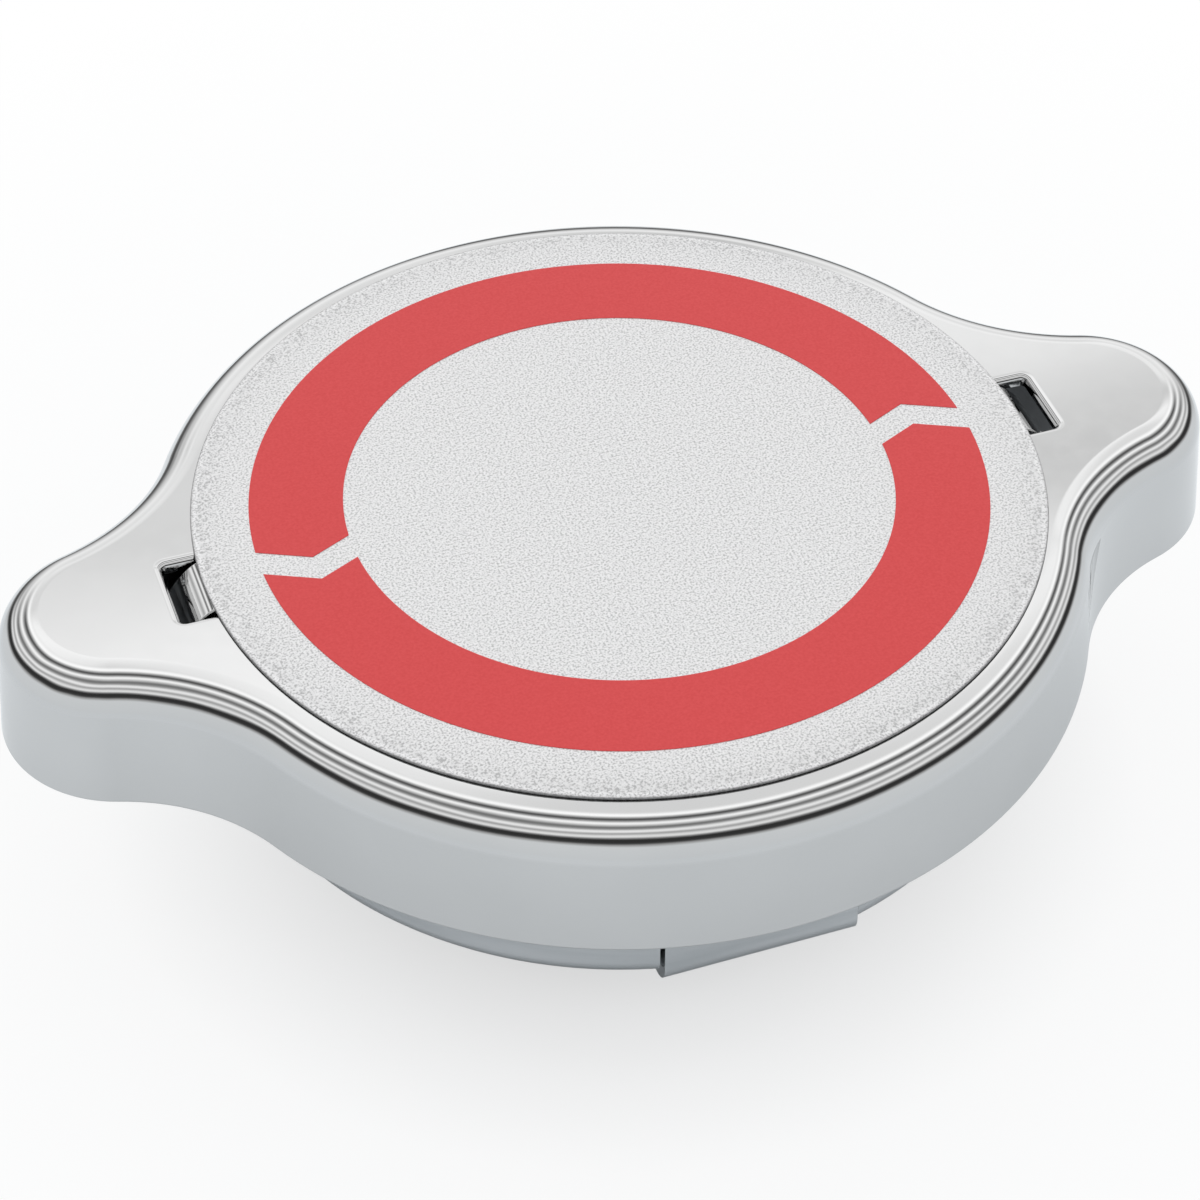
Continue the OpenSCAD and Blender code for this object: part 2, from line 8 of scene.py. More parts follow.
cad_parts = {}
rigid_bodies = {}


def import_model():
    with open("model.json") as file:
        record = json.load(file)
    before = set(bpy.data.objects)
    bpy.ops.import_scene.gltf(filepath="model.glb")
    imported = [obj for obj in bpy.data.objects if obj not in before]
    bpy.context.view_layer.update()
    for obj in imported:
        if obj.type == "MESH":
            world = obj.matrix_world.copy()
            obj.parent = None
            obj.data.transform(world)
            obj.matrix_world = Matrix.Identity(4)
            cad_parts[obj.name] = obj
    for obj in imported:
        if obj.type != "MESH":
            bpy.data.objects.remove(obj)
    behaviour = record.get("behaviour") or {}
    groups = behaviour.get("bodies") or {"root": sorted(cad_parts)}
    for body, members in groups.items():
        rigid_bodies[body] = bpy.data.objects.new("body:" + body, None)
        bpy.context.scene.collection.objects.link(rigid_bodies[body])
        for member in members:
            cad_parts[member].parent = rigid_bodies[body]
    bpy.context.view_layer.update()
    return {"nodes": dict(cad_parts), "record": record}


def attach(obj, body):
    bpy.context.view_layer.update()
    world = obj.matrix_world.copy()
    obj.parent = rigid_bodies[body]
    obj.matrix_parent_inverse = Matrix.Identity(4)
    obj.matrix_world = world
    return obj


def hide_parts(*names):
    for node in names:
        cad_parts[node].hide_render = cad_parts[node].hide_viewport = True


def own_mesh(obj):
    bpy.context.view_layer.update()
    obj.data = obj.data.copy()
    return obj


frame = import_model()

# Sizes of the cap in millimetres, in the frame of the CAD part
MM = 0.001
UP = Vector((0, 0, 1))
BODY_R = 33.1
EAR_REACH = 44.0
EAR_TIP_R = 8.6
BLEND_R = 15.0
SHEET = 0.9
SHELL_TOP = 26.0
SKIRT_H = 10.0
SKIRT_LEAN = math.radians(4.3)
SHOULDER_R = 3.0
EDGE_R = 0.2
SKIRT_HEM = 0.7

SLOT_ROOT = 28.3
SLOT_REACH = 31.6
SLOT_W = 5.8
SLOT_CORNER_R = 0.35
SLOT_ROOT_CORNER_R = 0.1
SLOT_ROLL_R = 0.6
TAB_W = 5.0
TAB_REACH = 30.4
TAB_BEND_R = 1.6
TAB_BEND_END = math.radians(55)
TAB_BOW_R = 5.0
TAB_DROP = 3.6
TAB_EDGE_R = 0.15

FLANGE_R_IN = 28.5
FLANGE_R_OUT = 31.6
FLANGE_TOP = 21.9
FLANGE_T = 0.8

DIMPLE_DEPTH = 1.3
DIMPLE_FLOOR_R = 6.0
DIMPLE_RIM_R = 8.0
DIMPLE_MITRE = math.radians(22.5)
RIVET_HOLE_R = 2.52

DISC_R = 29.405
DISC_TOP = 26.36
DISC_EDGE_R = 0.1
DISC_CROWN_W = 2.4
DISC_CROWN_DROP = 0.14
DISC_UNDERCUT = 0.35
DISC_LIFT = 0.07
DISC_FLAT_RINGS = (0, 0.2, 0.5, 0.8, 1)
PRINT_R_OUT = 25.405
PRINT_R_IN = 18.955
PRINT_T = 0.04
ARROW_POINT_R = 21.805
ARROW_SLOPE = math.radians(25)
ARROW_GAP = 2.3

# Coil springs: the pitch of their end turns is in wire diameters, and each keeps a share of its length
PRESSURE_COIL = {"mean_r": 9.4, "wire": 1.8, "turns": 4.25, "low": 8.95, "high": 21.55}
VACUUM_COIL = {"mean_r": 2.3, "wire": 0.5, "turns": 4.5, "low": 9.65, "high": 13.95}
COIL_END_PITCH = 1.05

# Facets round a circle or along one arc of each form
ROUND_STEPS = 192
EAR_STEPS = 26
BLEND_STEPS = 20
BODY_STEPS = 34
SHOULDER_STEPS = 14
EDGE_STEPS = 4
SLOT_CORNER_STEPS = 7
SLOT_ROLL_STEPS = 6
TAB_BEND_STEPS = 12
TAB_BOW_STEPS = 16
TAB_EDGE_STEPS = 4
FLANGE_STEPS = 10
CROWN_STEPS = 12
DISC_EDGE_STEPS = 8
ARROW_STEPS = 120
COIL_STEPS = 72
WIRE_STEPS = 18
FLOOR_STEPS = 96
INSIDE_ROWS = SHOULDER_STEPS + EDGE_STEPS + 2
WELDS_PER_MM = 10000


def add_object(name, data):
    """A new object in the scene."""
    made = bpy.data.objects.new(name, data)
    bpy.context.scene.collection.objects.link(made)
    return made


class Skin:
    """Faces with a stated normal at each corner, welded where their corners meet."""

    def __init__(self):
        self.ids = {}
        self.points = []
        self.faces = []
        self.normals = []

    def corner(self, point):
        key = tuple(round(c * WELDS_PER_MM) for c in point)
        if key not in self.ids:
            self.ids[key] = len(self.points)
            self.points.append(Vector(point) * MM)
        return self.ids[key]

    def face(self, corners):
        """One face of (point, normal) corners, turned so that it looks the way its normals do."""
        kept = []
        for point, normal in corners:
            index = self.corner(point)
            if index not in [k[0] for k in kept]:
                kept.append((index, normal))
        if len(kept) < 3:
            return
        ring = [self.points[k[0]] for k in kept]
        area = sum((a.cross(b) for a, b in zip(ring, ring[1:] + ring[:1])), Vector())
        if area.dot(sum((k[1] for k in kept), Vector())) < 0:
            kept.reverse()
        self.faces.append([k[0] for k in kept])
        self.normals.extend(k[1].normalized() for k in kept)

    def grid(self, rows):
        """Quads between neighbouring closed rows of (point, normal) corners."""
        for low, high in zip(rows, rows[1:]):
            count = len(low)
            for i in range(count):
                j = (i + 1) % count
                self.face([low[i], low[j], high[j], high[i]])

    def flat(self, loops, z, normal):
        """A level face bounded by the first loop, with the other loops as holes."""
        lines = [[Vector((p[0], p[1], z)) for p in loop] for loop in loops]
        points = [p for line in lines for p in line]
        for triangle in tessellate_polygon(lines):
            self.face([(points[i], normal) for i in triangle])

    def piece(self, name, material, body, node, slot):
        """The finished object, which rides on a body and may stand for a CAD node."""
        mesh = bpy.data.meshes.new(name)
        mesh.from_pydata(self.points, [], self.faces)
        mesh.polygons.foreach_set("use_smooth", [True] * len(mesh.polygons))
        mesh.normals_split_custom_set(self.normals)
        mesh.materials.append(material)
        piece = add_object(name, mesh)
        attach(piece, body)
        if node:
            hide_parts(node)
        return piece


def unit(angle):
    return Vector((math.cos(angle), math.sin(angle)))


def flip(v):
    return Vector((-v.x, v.y))


def bearing(v):
    """Angle of a plan direction, from just below zero up to a full turn."""
    angle = math.atan2(v.y, v.x)
    return angle + math.tau if angle < -math.pi / 2 else angle


def steps(start, end, count):
    return [start + (end - start) * i / count for i in range(count + 1)]


def circle(radius, count=ROUND_STEPS):
    return [radius * unit(math.tau * i / count) for i in range(count)]


def lathe(skin, profile):
    """Turns a profile of (radius, height, normal) about the cap's axis."""
    ways = circle(1.0)
    rows = []
    for radius, z, normal in profile:
        rows.append([
            (Vector((*(radius * way), z)), Vector((*(normal[0] * way), normal[1])))
            for way in ways
        ])
    skin.grid(rows)


def shell_outline():
    """Points and outward directions round the skirt's lower edge."""
    ear_x = EAR_REACH - EAR_TIP_R
    to_body = BODY_R + BLEND_R
    to_ear = EAR_TIP_R + BLEND_R
    blend_x = (to_body**2 - to_ear**2 + ear_x**2) / (2 * ear_x)
    blend_y = math.sqrt(to_body**2 - blend_x**2)
    body_end = math.atan2(blend_y, blend_x)
    ear_end = math.atan2(blend_y, blend_x - ear_x)
    quarter = [
        (Vector((ear_x, 0)) + EAR_TIP_R * unit(a), unit(a))
        for a in steps(0, ear_end, EAR_STEPS)[:-1]
    ]
    quarter += [
        (Vector((blend_x, blend_y)) - BLEND_R * unit(a), unit(a))
        for a in steps(ear_end, body_end, BLEND_STEPS)[:-1]
    ]
    quarter += [(BODY_R * unit(a), unit(a)) for a in steps(body_end, math.pi / 2, BODY_STEPS)]
    half = quarter + [(flip(p), flip(n)) for p, n in reversed(quarter[1:-1])]
    half.append((flip(quarter[0][0]), flip(quarter[0][1])))
    return half + [(Vector((p.x, -p.y)), Vector((n.x, -n.y))) for p, n in reversed(half[1:-1])]


def sheet_section():
    """Section of the sheet as (outward, height, normal), from the inner flat round to the outer one."""
    lean = unit(SKIRT_LEAN)
    shoulder_z = SKIRT_H - SHOULDER_R
    shoulder_u = -(SHOULDER_R + shoulder_z * lean.y) / lean.x
    centre = Vector((shoulder_u, shoulder_z))
    inner_foot = Vector(((EDGE_R - SHEET - SKIRT_HEM - EDGE_R * lean.y) / lean.x, EDGE_R))
    outer_foot = Vector(((-EDGE_R - EDGE_R * lean.y) / lean.x, EDGE_R))
    section = []
    for angle in steps(math.pi / 2, SKIRT_LEAN, SHOULDER_STEPS):
        section.append((centre + (SHOULDER_R - SHEET) * unit(angle), -unit(angle)))
    for angle in steps(math.pi + SKIRT_LEAN, 1.5 * math.pi, EDGE_STEPS):
        section.append((inner_foot + EDGE_R * unit(angle), unit(angle)))
    for angle in steps(-math.pi / 2, SKIRT_LEAN, EDGE_STEPS):
        section.append((outer_foot + EDGE_R * unit(angle), unit(angle)))
    for angle in steps(SKIRT_LEAN, math.pi / 2, 2 * SHOULDER_STEPS):
        section.append((centre + SHOULDER_R * unit(angle), unit(angle)))
    return section


def slot_loop(side):
    """Points of a slot's edge and the directions from the slot into the sheet; side is 1 or -1."""
    loop = []
    half_w = SLOT_W / 2
    corners = [
        (SLOT_REACH, -1, SLOT_CORNER_R, -math.pi / 2),
        (SLOT_REACH, 1, SLOT_CORNER_R, 0),
        (SLOT_ROOT, 1, SLOT_ROOT_CORNER_R, math.pi / 2),
        (SLOT_ROOT, -1, SLOT_ROOT_CORNER_R, math.pi),
    ]
    for x, y, radius, start in corners:
        inside = -radius if x == SLOT_REACH else radius
        centre = Vector((x + inside, y * (half_w - radius)))
        for angle in steps(start, start + math.pi / 2, SLOT_CORNER_STEPS):
            loop.append((side * (centre + radius * unit(angle)), side * unit(angle)))
    return loop


def slot_edge(skin, loop):
    """Rolled edge of a slot: from the flat top round into the slot and down to the sheet's underside."""
    rows = []
    for angle in steps(0, math.pi / 2, SLOT_ROLL_STEPS):
        rows.append([])
        for point, way in loop:
            place = point + SLOT_ROLL_R * (1 - math.sin(angle)) * way
            z = SHELL_TOP - SLOT_ROLL_R * (1 - math.cos(angle))
            normal = Vector((*(-math.sin(angle) * way), math.cos(angle)))
            rows[-1].append((Vector((*place, z)), normal))
    rows.append([
        (Vector((*point, SHELL_TOP - SHEET)), Vector((*-way, 0))) for point, way in loop
    ])
    skin.grid(rows)


def tab_section():
    """Section of the tab as (across, deep) places and normals, with rounded corners."""
    across = TAB_W / 2 - TAB_EDGE_R
    deep = SHEET / 2 - TAB_EDGE_R
    section = []
    for y, d, start in [(1, 1, 0), (-1, 1, 90), (-1, -1, 180), (1, -1, 270)]:
        for angle in steps(math.radians(start), math.radians(start + 90), TAB_EDGE_STEPS):
            corner = Vector((y * across, d * deep)) + TAB_EDGE_R * unit(angle)
            section.append((corner, unit(angle)))
    return section


def tab(skin, side):
    """The lanced tab: a strip with rounded edges that leaves the slot's root, bends down and bows out."""
    bend = Vector((TAB_REACH - TAB_BEND_R, SHELL_TOP - TAB_BEND_R))
    bow = bend + (TAB_BEND_R - TAB_BOW_R) * unit(TAB_BEND_END)
    tip = math.asin((SHELL_TOP - TAB_DROP - bow.y) / TAB_BOW_R)
    path = [(Vector((SLOT_ROOT, SHELL_TOP)), Vector((0, 1)))]
    bend_angles = steps(math.pi / 2, TAB_BEND_END, TAB_BEND_STEPS)
    path += [(bend + TAB_BEND_R * unit(a), unit(a)) for a in bend_angles]
    bow_angles = steps(TAB_BEND_END, tip, TAB_BOW_STEPS)[1:]
    path += [(bow + TAB_BOW_R * unit(a), unit(a)) for a in bow_angles]
    rows = []
    for outer, way in path:
        rows.append([])
        for (y, d), (ny, nd) in tab_section():
            place = outer + (d - SHEET / 2) * way
            point = Vector((side * place.x, side * y, place.y))
            normal = Vector((side * nd * way.x, side * ny, nd * way.y))
            rows[-1].append((point, normal))
    skin.grid(rows)
    end = Vector((side * math.sin(tip), 0, -math.cos(tip)))
    skin.face([(point, end) for point, _ in rows[-1]])


def dimple(outside, inside):
    """Pressed dimple round the rivet, upper and lower side, with a wall at 45 degrees."""
    shift = SHEET * math.tan(DIMPLE_MITRE)
    slope = Vector((-1, 1)).normalized()
    level = Vector((0, 1))
    inwards = Vector((-1, 0))
    top = SHELL_TOP
    under = SHELL_TOP - SHEET
    floor_z = top - DIMPLE_DEPTH
    low = under - DIMPLE_DEPTH
    foot = DIMPLE_FLOOR_R
    rim = DIMPLE_FLOOR_R + DIMPLE_DEPTH
    lathe(outside, [(DIMPLE_RIM_R, top, level), (rim, top, level)])
    lathe(outside, [(rim, top, slope), (foot, floor_z, slope)])
    lathe(outside, [(foot, floor_z, level), (RIVET_HOLE_R, floor_z, level)])
    lathe(outside, [(RIVET_HOLE_R, floor_z, inwards), (RIVET_HOLE_R, low, inwards)])
    lathe(inside, [(RIVET_HOLE_R, low, -level), (foot + shift, low, -level)])
    lathe(inside, [(foot + shift, low, -slope), (rim + shift, under, -slope)])
    lathe(inside, [(rim + shift, under, -level), (DIMPLE_RIM_R, under, -level)])


def outer_shell(bright, dull_and_shaded):
    """The pressed shell: its bright outside, with slots and tabs, and its inside of rougher chrome,
    darkened as painted shade.
    """
    outside = Skin()
    inside = Skin()
    outline = shell_outline()
    skirt_z = SHELL_TOP - SKIRT_H
    rows = []
    for (u, z), (nu, nz) in sheet_section():
        rows.append([
            (Vector((*(point + u * way), skirt_z + z)), Vector((*(nu * way), nz)))
            for point, way in outline
        ])
    inside.grid(rows[:INSIDE_ROWS])
    outside.grid(rows[INSIDE_ROWS - 1:])
    slots = [slot_loop(side) for side in (1, -1)]
    for loop in slots:
        slot_edge(outside, loop)
    rim = circle(DIMPLE_RIM_R)
    rolled = [[point + SLOT_ROLL_R * way for point, way in loop] for loop in slots]
    plain = [[point for point, _ in loop] for loop in slots]
    outside.flat([[p for p, _ in rows[-1]], *rolled, rim], SHELL_TOP, UP)
    inside.flat([[p for p, _ in rows[0]], *plain, rim], SHELL_TOP - SHEET, -UP)
    dimple(outside, inside)
    for side in (1, -1):
        tab(outside, side)
    outside.piece("shell_pressing", bright, "cap", "outer_shell", "chrome")
    inside.piece("shell_inside", dull_and_shaded, "cap", "outer_shell", "chrome")


def ring_flange(material):
    """Narrow flange of the locking ring under the tabs' ends, seen through the slots; its darkened chrome
    is painted shade inside them.
    """
    skin = Skin()
    half = FLANGE_T / 2
    middle = Vector((FLANGE_R_OUT - half, FLANGE_TOP - half))
    angles = steps(math.pi / 2, -math.pi / 2, FLANGE_STEPS)
    edge = [(middle + half * unit(a), unit(a)) for a in angles]
    profile = [(FLANGE_R_IN, FLANGE_TOP, Vector((0, 1)))]
    profile += [(place.x, place.y, way) for place, way in edge]
    profile.append((FLANGE_R_IN, FLANGE_TOP - FLANGE_T, Vector((0, -1))))
    lathe(skin, profile)
    lathe(skin, [(r, z, Vector((-1, 0))) for r, z, _ in (profile[-1], profile[0])])
    skin.piece("ring_flange", material, "cap", None, "plated_steel")


def label_disc(material):
    """The label plate: it falls off gently to a crisp edge, with a narrow crevice above the shell."""
    skin = Skin()
    level = Vector((0, 1))
    out = Vector((1, 0))
    edge_r = DISC_R - DISC_EDGE_R
    flat_r = edge_r - DISC_CROWN_W
    foot_r = DISC_R - DISC_UNDERCUT
    lift_z = SHELL_TOP + DISC_LIFT
    profile = [(share * flat_r, DISC_TOP, level) for share in DISC_FLAT_RINGS]
    for share in steps(0, 1, CROWN_STEPS)[1:]:
        slope = 2 * share * DISC_CROWN_DROP / DISC_CROWN_W
        profile.append((
            flat_r + share * DISC_CROWN_W,
            DISC_TOP - DISC_CROWN_DROP * share**2,
            Vector((slope, 1)).normalized(),
        ))
    edge_z = DISC_TOP - DISC_CROWN_DROP - DISC_EDGE_R
    start = math.pi / 2 - math.atan(2 * DISC_CROWN_DROP / DISC_CROWN_W)
    profile += [
        (edge_r + DISC_EDGE_R * math.cos(a), edge_z + DISC_EDGE_R * math.sin(a), unit(a))
        for a in steps(start, 0, DISC_EDGE_STEPS)[1:]
    ]
    lathe(skin, profile + [(DISC_R, lift_z, out)])
    lathe(skin, [(DISC_R, lift_z, -level), (foot_r, lift_z, -level)])
    lathe(skin, [(foot_r, lift_z, out), (foot_r, SHELL_TOP, out)])
    lathe(skin, [(foot_r, SHELL_TOP, -level), (0, SHELL_TOP, -level)])
    skin.piece("label_plate", material, "cap", "label_disc", "label_metal")


def chevron_meet(radius, apex_y, outwards):
    """Where an arrow's edge, falling back from its apex, meets a circle of the printed ring."""
    slope = math.tan(ARROW_SLOPE)
    step = 1 if outwards else -1
    a = 1 + slope**2
    b = step * ARROW_POINT_R - apex_y * slope
    c = ARROW_POINT_R**2 + apex_y**2 - radius**2
    root = math.sqrt(b * b - a * c)
    run = (-b + root) / a if outwards else (-b - root) / a
    return Vector((ARROW_POINT_R + step * run, apex_y - slope * run))


def arrow_outline():
    """One printed arrow, from its tail at +X anticlockwise to its point at -X."""
    tail_out = chevron_meet(PRINT_R_OUT, ARROW_GAP, True)
    tail_in = chevron_meet(PRINT_R_IN, ARROW_GAP, False)
    tip_out = -chevron_meet(PRINT_R_OUT, 0, True)
    tip_in = -chevron_meet(PRINT_R_IN, 0, False)
    outer = steps(bearing(tail_out), bearing(tip_out), ARROW_STEPS)
    inner = steps(bearing(tip_in), bearing(tail_in), ARROW_STEPS)
    loop = [PRINT_R_OUT * unit(a) for a in outer]
    loop.append(Vector((-ARROW_POINT_R, 0)))
    loop += [PRINT_R_IN * unit(a) for a in inner]
    loop.append(Vector((ARROW_POINT_R, ARROW_GAP)))
    return loop


def label_print(material):
    """The two printed arrows, as thin plates on the label."""
    skin = Skin()
    for side in (1, -1):
        loop = [side * p for p in arrow_outline()]
        skin.flat([loop], DISC_TOP + PRINT_T, UP)
        skin.flat([loop], DISC_TOP, -UP)
        for a, b in zip(loop, loop[1:] + loop[:1]):
            along = (b - a).normalized()
            out = Vector((along.y, -along.x, 0))
            corners = [(a, 0), (b, 0), (b, PRINT_T), (a, PRINT_T)]
            skin.face([(Vector((*p, DISC_TOP + t)), out) for p, t in corners])
    skin.piece("arrow_print", material, "cap", "label_print", "red_enamel")


def coil_rise(turn, turns, rise, close):
    """Height of a coil's wire after some turns: the end turns lie close, the rest is spread."""
    if turn < 1:
        return turn * close
    if turn > turns - 1:
        return rise - (turns - turn) * close
    return close + (turn - 1) * (rise - 2 * close) / (turns - 2)


def coil(name, size, material, body, node):
    """A coil spring of round wire with closed ends."""
    skin = Skin()
    radius = size["wire"] / 2
    count = round(size["turns"] * COIL_STEPS)
    rise = size["high"] - size["low"] - size["wire"]
    rows = []
    for i in range(count + 1):
        turn = i * size["turns"] / count
        way = unit(math.tau * turn)
        height = coil_rise(turn, size["turns"], rise, size["wire"] * COIL_END_PITCH)
        z = size["low"] + radius + height
        rows.append([])
        for side in circle(1.0, WIRE_STEPS):
            place = (size["mean_r"] + radius * side.x) * way
            normal = Vector((*(side.x * way), side.y))
            rows[-1].append((Vector((*place, z + radius * side.y)), normal))
    skin.grid(rows)
    for end, before in ((rows[0], rows[1]), (rows[-1], rows[-2])):
        along = end[0][0] - before[0][0]
        skin.face([(point, along) for point, _ in end])
    return skin.piece(name, material, body, node, "spring_steel")


# Sockets of a colour mix: its two colours and its result
MIX_FIRST = 6
MIX_SECOND = 7
MIX_RESULT = 2

# The range in which most values of a noise lie
NOISE_LOW = 0.3
NOISE_HIGH = 0.7


class Nodes:
    """Short ways to build a node tree."""

    def __init__(self, tree):
        self.tree = tree

    def node(self, kind, **values):
        made = self.tree.nodes.new(kind)
        for key, value in values.items():
            if key in made.inputs:
                made.inputs[key].default_value = value
            else:
                setattr(made, key, value)
        return made

    def link(self, source, target):
        self.tree.links.new(source, target)

    def fill(self, made, sources):
        """Fills a node's inputs in order, each with a link or a plain value."""
        for socket, source in zip(made.inputs, sources):
            if isinstance(source, bpy.types.NodeSocket):
                self.link(source, socket)
            else:
                socket.default_value = source
        return made.outputs[0]

    def math(self, operation, *sources):
        return self.fill(self.node("ShaderNodeMath", operation=operation), sources)

    def vector(self, operation, *sources):
        return self.fill(self.node("ShaderNodeVectorMath", operation=operation), sources)

    def measure(self, operation, *sources):
        """A number taken from vectors, such as a length."""
        made = self.node("ShaderNodeVectorMath", operation=operation)
        self.fill(made, sources)
        return made.outputs["Value"]

    def along(self, source, way):
        """How far a vector reaches along a direction."""
        return self.measure("DOT_PRODUCT", source, way)

    def halved(self, source):
        """A value that runs from -1 to 1, as the place 0 to 1 on a ramp."""
        return self.math("MULTIPLY_ADD", source, 0.5, 0.5)

    def smooth(self, source, low, high):
        """A share that goes smoothly from 0 to 1 between two values."""
        made = self.node("ShaderNodeMapRange", interpolation_type="SMOOTHSTEP")
        self.fill(made, (source, low, high))
        return made.outputs["Result"]

    def mix(self, share, first, second):
        """Two colours mixed by a share."""
        made = self.node("ShaderNodeMix", data_type="RGBA")
        self.link(share, made.inputs["Factor"])
        self.link(first, made.inputs[MIX_FIRST])
        self.link(second, made.inputs[MIX_SECOND])
        return made.outputs[MIX_RESULT]

    def blend(self, share, first, second):
        """Two shaders mixed by a share."""
        return self.fill(self.node("ShaderNodeMixShader"), (share, first, second))

    def ramp(self, source, stops):
        """Runs a value through a ramp of (place, colour or grey) stops."""
        made = self.node("ShaderNodeValToRGB")
        items = made.color_ramp.elements
        while len(items) < len(stops):
            items.new(1.0)
        for item, (place, colour) in zip(items, stops):
            item.position = place
            item.color = (*colour, 1) if isinstance(colour, tuple) else (colour, colour, colour, 1)
        self.link(source, made.inputs["Fac"])
        return made.outputs["Color"]


class Paint(Nodes):
    """A node material with one Principled shader, and short ways to add its detail."""

    def __init__(self, name, metallic, specular=0.5):
        self.material = bpy.data.materials.new(name)
        self.material.use_nodes = True
        super().__init__(self.material.node_tree)
        self.shader = self.tree.nodes["Principled BSDF"]
        self.shader.inputs["Metallic"].default_value = metallic
        self.shader.inputs["Specular IOR Level"].default_value = specular
        self.place = self.node("ShaderNodeTexCoord").outputs["Object"]

    def stretched(self, scale):
        """The object's coordinates, scaled by axis."""
        made = self.node("ShaderNodeMapping", Scale=scale)
        self.link(self.place, made.inputs["Vector"])
        return made.outputs["Vector"]

    def noise(self, scale, detail, place=None):
        made = self.node("ShaderNodeTexNoise", Scale=scale, Detail=detail)
        self.link(place or self.place, made.inputs["Vector"])
        return made.outputs["Fac"]

    def bump(self, source, strength, distance):
        made = self.node("ShaderNodeBump", Strength=strength, Distance=distance)
        self.link(source, made.inputs["Height"])
        self.link(made.outputs["Normal"], self.shader.inputs["Normal"])

    def between(self, source, low, high):
        """A colour or grey that goes from one to another with a noise."""
        return self.ramp(source, [(NOISE_LOW, low), (NOISE_HIGH, high)])

    def colour(self, source, low, high):
        self.link(self.between(source, low, high), self.shader.inputs["Base Color"])

    def rough(self, source, low, high):
        self.link(self.between(source, low, high), self.shader.inputs["Roughness"])


def chrome():
    paint = Paint("chrome", metallic=1.0)
    paint.colour(paint.noise(scale=90, detail=4), low=(0.538, 0.54, 0.54), high=(0.562, 0.563, 0.563))
    paint.rough(paint.noise(scale=700, detail=5), low=0.03, high=0.07)
    paint.bump(paint.noise(scale=60, detail=1), strength=0.03, distance=0.001)
    return paint.material


def dull_shaded_chrome():
    paint = Paint("dull_shaded_chrome", metallic=1.0)
    stain = paint.noise(scale=160, detail=5)
    # Its colour, far darker than plated chrome, is painted shade for the inside of the cap and the slots;
    # the higher roughness is the inside's rougher finish
    paint.colour(stain, low=(0.095, 0.097, 0.1), high=(0.16, 0.162, 0.165))
    paint.rough(stain, low=0.5, high=0.36)
    paint.bump(paint.noise(scale=1800, detail=3), strength=0.1, distance=0.0001)
    return paint.material


# Label plate: shades of its stipple, and the share of a darker painted shade from its centre to its edge:
# a soft band that darkens towards the rim, and a thin dark line on the edge itself as the painted shadow
# of the crevice under it
STIPPLE = [(0.36, (0.45, 0.45, 0.455)), (0.5, (0.71, 0.71, 0.715)), (0.68, (0.79, 0.79, 0.795))]
LABEL_EDGE_SHADE = [(0.86, 0.0), (0.94, 0.05), (0.982, 0.13), (0.988, 0.0), (0.9955, 0.0), (0.998, 0.9)]


def label_metal():
    paint = Paint("label_metal", metallic=0.5)
    grain = paint.noise(scale=6600, detail=2)
    face = paint.ramp(grain, STIPPLE)
    # The darker tone is painted shade, mixed in near the rim and on the edge by the share below
    painted_shade_tone = paint.between(grain, low=0.16, high=0.26)
    reach = paint.measure("LENGTH", paint.stretched((1, 1, 0)))
    edge_shade_share = paint.ramp(paint.math("DIVIDE", reach, DISC_R * MM), LABEL_EDGE_SHADE)
    paint.link(paint.mix(edge_shade_share, face, painted_shade_tone), paint.shader.inputs["Base Color"])
    paint.rough(grain, low=0.44, high=0.32)
    paint.bump(grain, strength=0.3, distance=0.0001)
    return paint.material


def red_enamel():
    paint = Paint("red_enamel", metallic=0.0, specular=0.3)
    grain = paint.noise(scale=5200, detail=3)
    paint.colour(grain, low=(0.685, 0.058, 0.061), high=(0.73, 0.069, 0.072))
    paint.rough(grain, low=0.6, high=0.5)
    paint.bump(grain, strength=0.1, distance=0.0001)
    return paint.material


def plated_steel():
    paint = Paint("plated_steel", metallic=1.0)
    streak = paint.noise(scale=260, detail=4, place=paint.stretched((0.3, 0.3, 4.0)))
    paint.colour(streak, low=(0.5, 0.52, 0.535), high=(0.6, 0.615, 0.63))
    paint.rough(paint.noise(scale=900, detail=4), low=0.12, high=0.24)
    paint.bump(paint.noise(scale=1500, detail=3), strength=0.04, distance=0.0001)
    return paint.material


def spring_steel():
    paint = Paint("spring_steel", metallic=1.0)
    draw = paint.noise(scale=500, detail=5)
    paint.colour(draw, low=(0.34, 0.34, 0.345), high=(0.48, 0.475, 0.465))
    paint.rough(draw, low=0.24, high=0.4)
    paint.bump(paint.noise(scale=2200, detail=3), strength=0.08, distance=0.0001)
    return paint.material


def black_rubber():
    paint = Paint("black_rubber", metallic=0.0)
    bloom = paint.noise(scale=450, detail=4)
    paint.colour(bloom, low=(0.018, 0.018, 0.019), high=(0.036, 0.036, 0.036))
    paint.rough(bloom, low=0.55, high=0.75)
    paint.bump(paint.noise(scale=3000, detail=2), strength=0.15, distance=0.0001)
    return paint.material


def brass():
    paint = Paint("brass", metallic=1.0)
    tone = paint.noise(scale=300, detail=4)
    paint.colour(tone, low=(0.62, 0.42, 0.16), high=(0.76, 0.54, 0.23))
    paint.rough(tone, low=0.2, high=0.34)
    turned = paint.node("ShaderNodeTexWave", wave_type="RINGS", rings_direction="Z",
                        Scale=900, Distortion=0.3)
    paint.link(paint.place, turned.inputs["Vector"])
    paint.bump(turned.outputs["Fac"], strength=0.1, distance=0.00005)
    return paint.material


